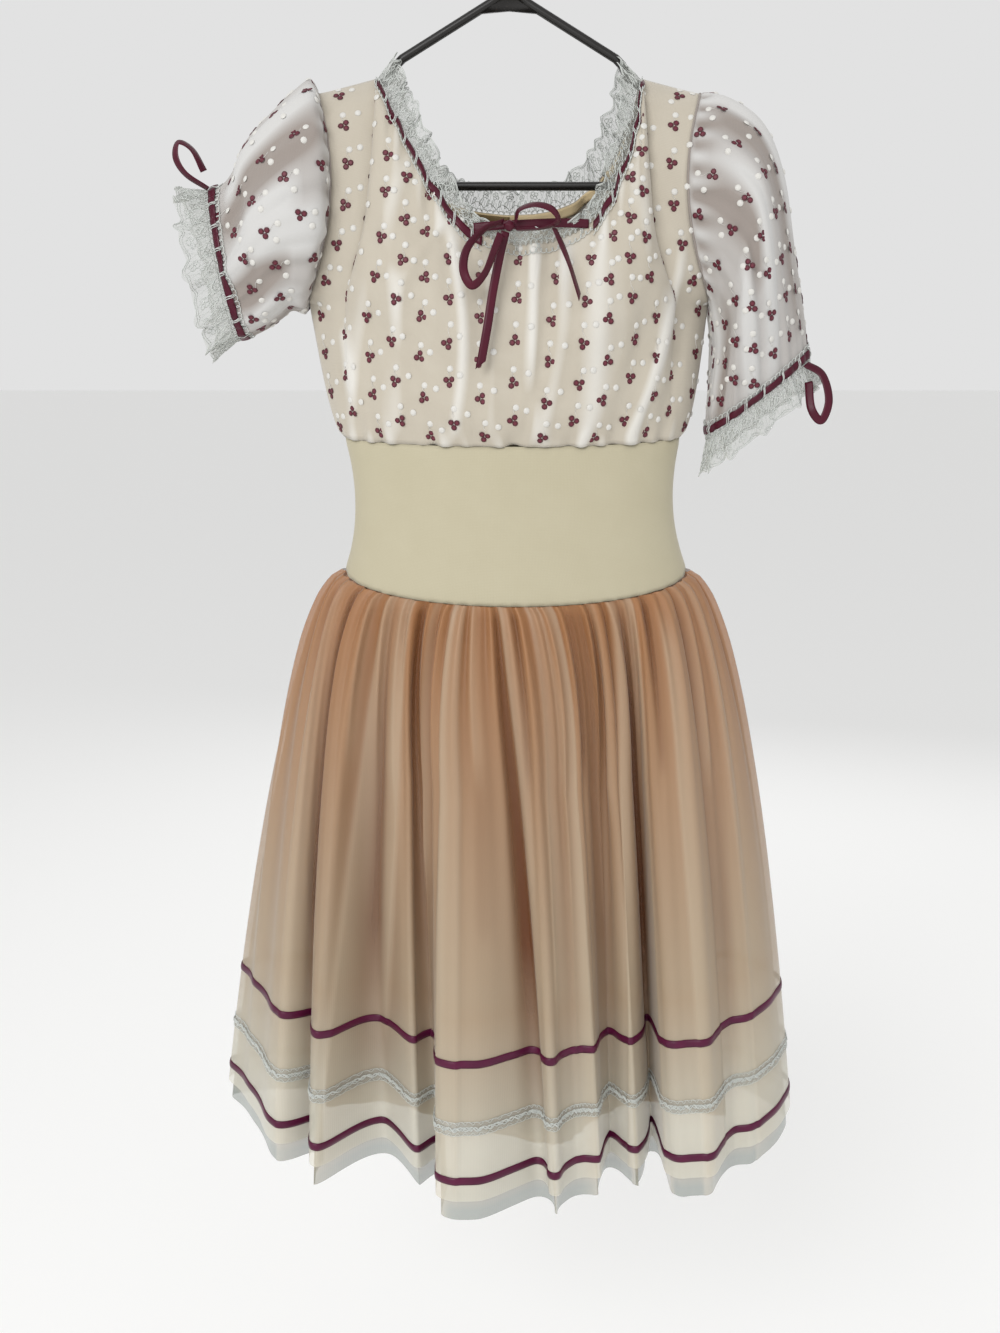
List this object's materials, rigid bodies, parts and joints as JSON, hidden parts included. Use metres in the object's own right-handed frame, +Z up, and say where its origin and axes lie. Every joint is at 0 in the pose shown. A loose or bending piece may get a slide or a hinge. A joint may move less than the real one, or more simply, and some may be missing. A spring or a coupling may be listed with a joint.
{
  "type": "ballet dress on a clothes hanger",
  "caption": "Romantic-length ballet dress with puffed short sleeves, lace neck frill, midriff band and gathered layered skirt, hung on a plain hanger.",
  "frame": {"origin": "inner bearing of the hanger's hook, where it rests on a rail", "axes": "+Z up along the hook, +X to the viewer's right across the shoulders, -Y out of the dress's front"},
  "size_m": [0.5033, 0.2225, 1.0348],
  "materials": {
    "hanger_plastic": "moulded, slightly glossy",
    "voile": "embroidered cotton voile, matt",
    "midriff_band": "fine stretch knit, soft satin",
    "organza": "sheer crisp organza over peach",
    "pale_organza": "sheer crisp organza",
    "lining": "plain weave lining, matt",
    "skirt_ribbon": "satin ribbon",
    "neck_ribbon": "satin ribbon",
    "lace": "cotton lace, open",
    "facing": "plain cotton, matt",
    "label": "woven tape, blank"
  },
  "bodies": {
    "root": {"hanger": "hanger_plastic", "bodice_front": "voile", "bodice_back": "voile", "sleeve_left": "voile", "sleeve_right": "voile", "midriff_front": "midriff_band", "midriff_back": "midriff_band", "overskirt_front": "organza", "overskirt_back": "organza", "underskirt_front": "pale_organza", "underskirt_back": "pale_organza", "skirt_lining": "lining", "upper_ribbon_front": "skirt_ribbon", "upper_ribbon_back": "skirt_ribbon", "lower_ribbon_front": "skirt_ribbon", "lower_ribbon_back": "skirt_ribbon", "lace_band_front": "lace", "lace_band_back": "lace", "cuff_lace_left": "lace", "cuff_lace_right": "lace", "neck_frill_left": "lace", "neck_frill_right": "lace", "neck_frill_back": "lace", "neck_ribbon_left": "neck_ribbon", "neck_ribbon_right": "neck_ribbon", "neck_ribbon_back": "neck_ribbon", "neck_ribbon_front": "neck_ribbon", "bow_knot": "neck_ribbon", "bow_loop_left": "neck_ribbon", "bow_loop_right": "neck_ribbon", "bow_tail_left": "neck_ribbon", "bow_tail_right": "neck_ribbon", "cuff_ribbon_left": "neck_ribbon", "cuff_ribbon_right": "neck_ribbon", "cuff_bow_left": "neck_ribbon", "cuff_bow_right": "neck_ribbon", "neck_facing": "facing", "neck_label": "label"}
  },
  "joints": []
}
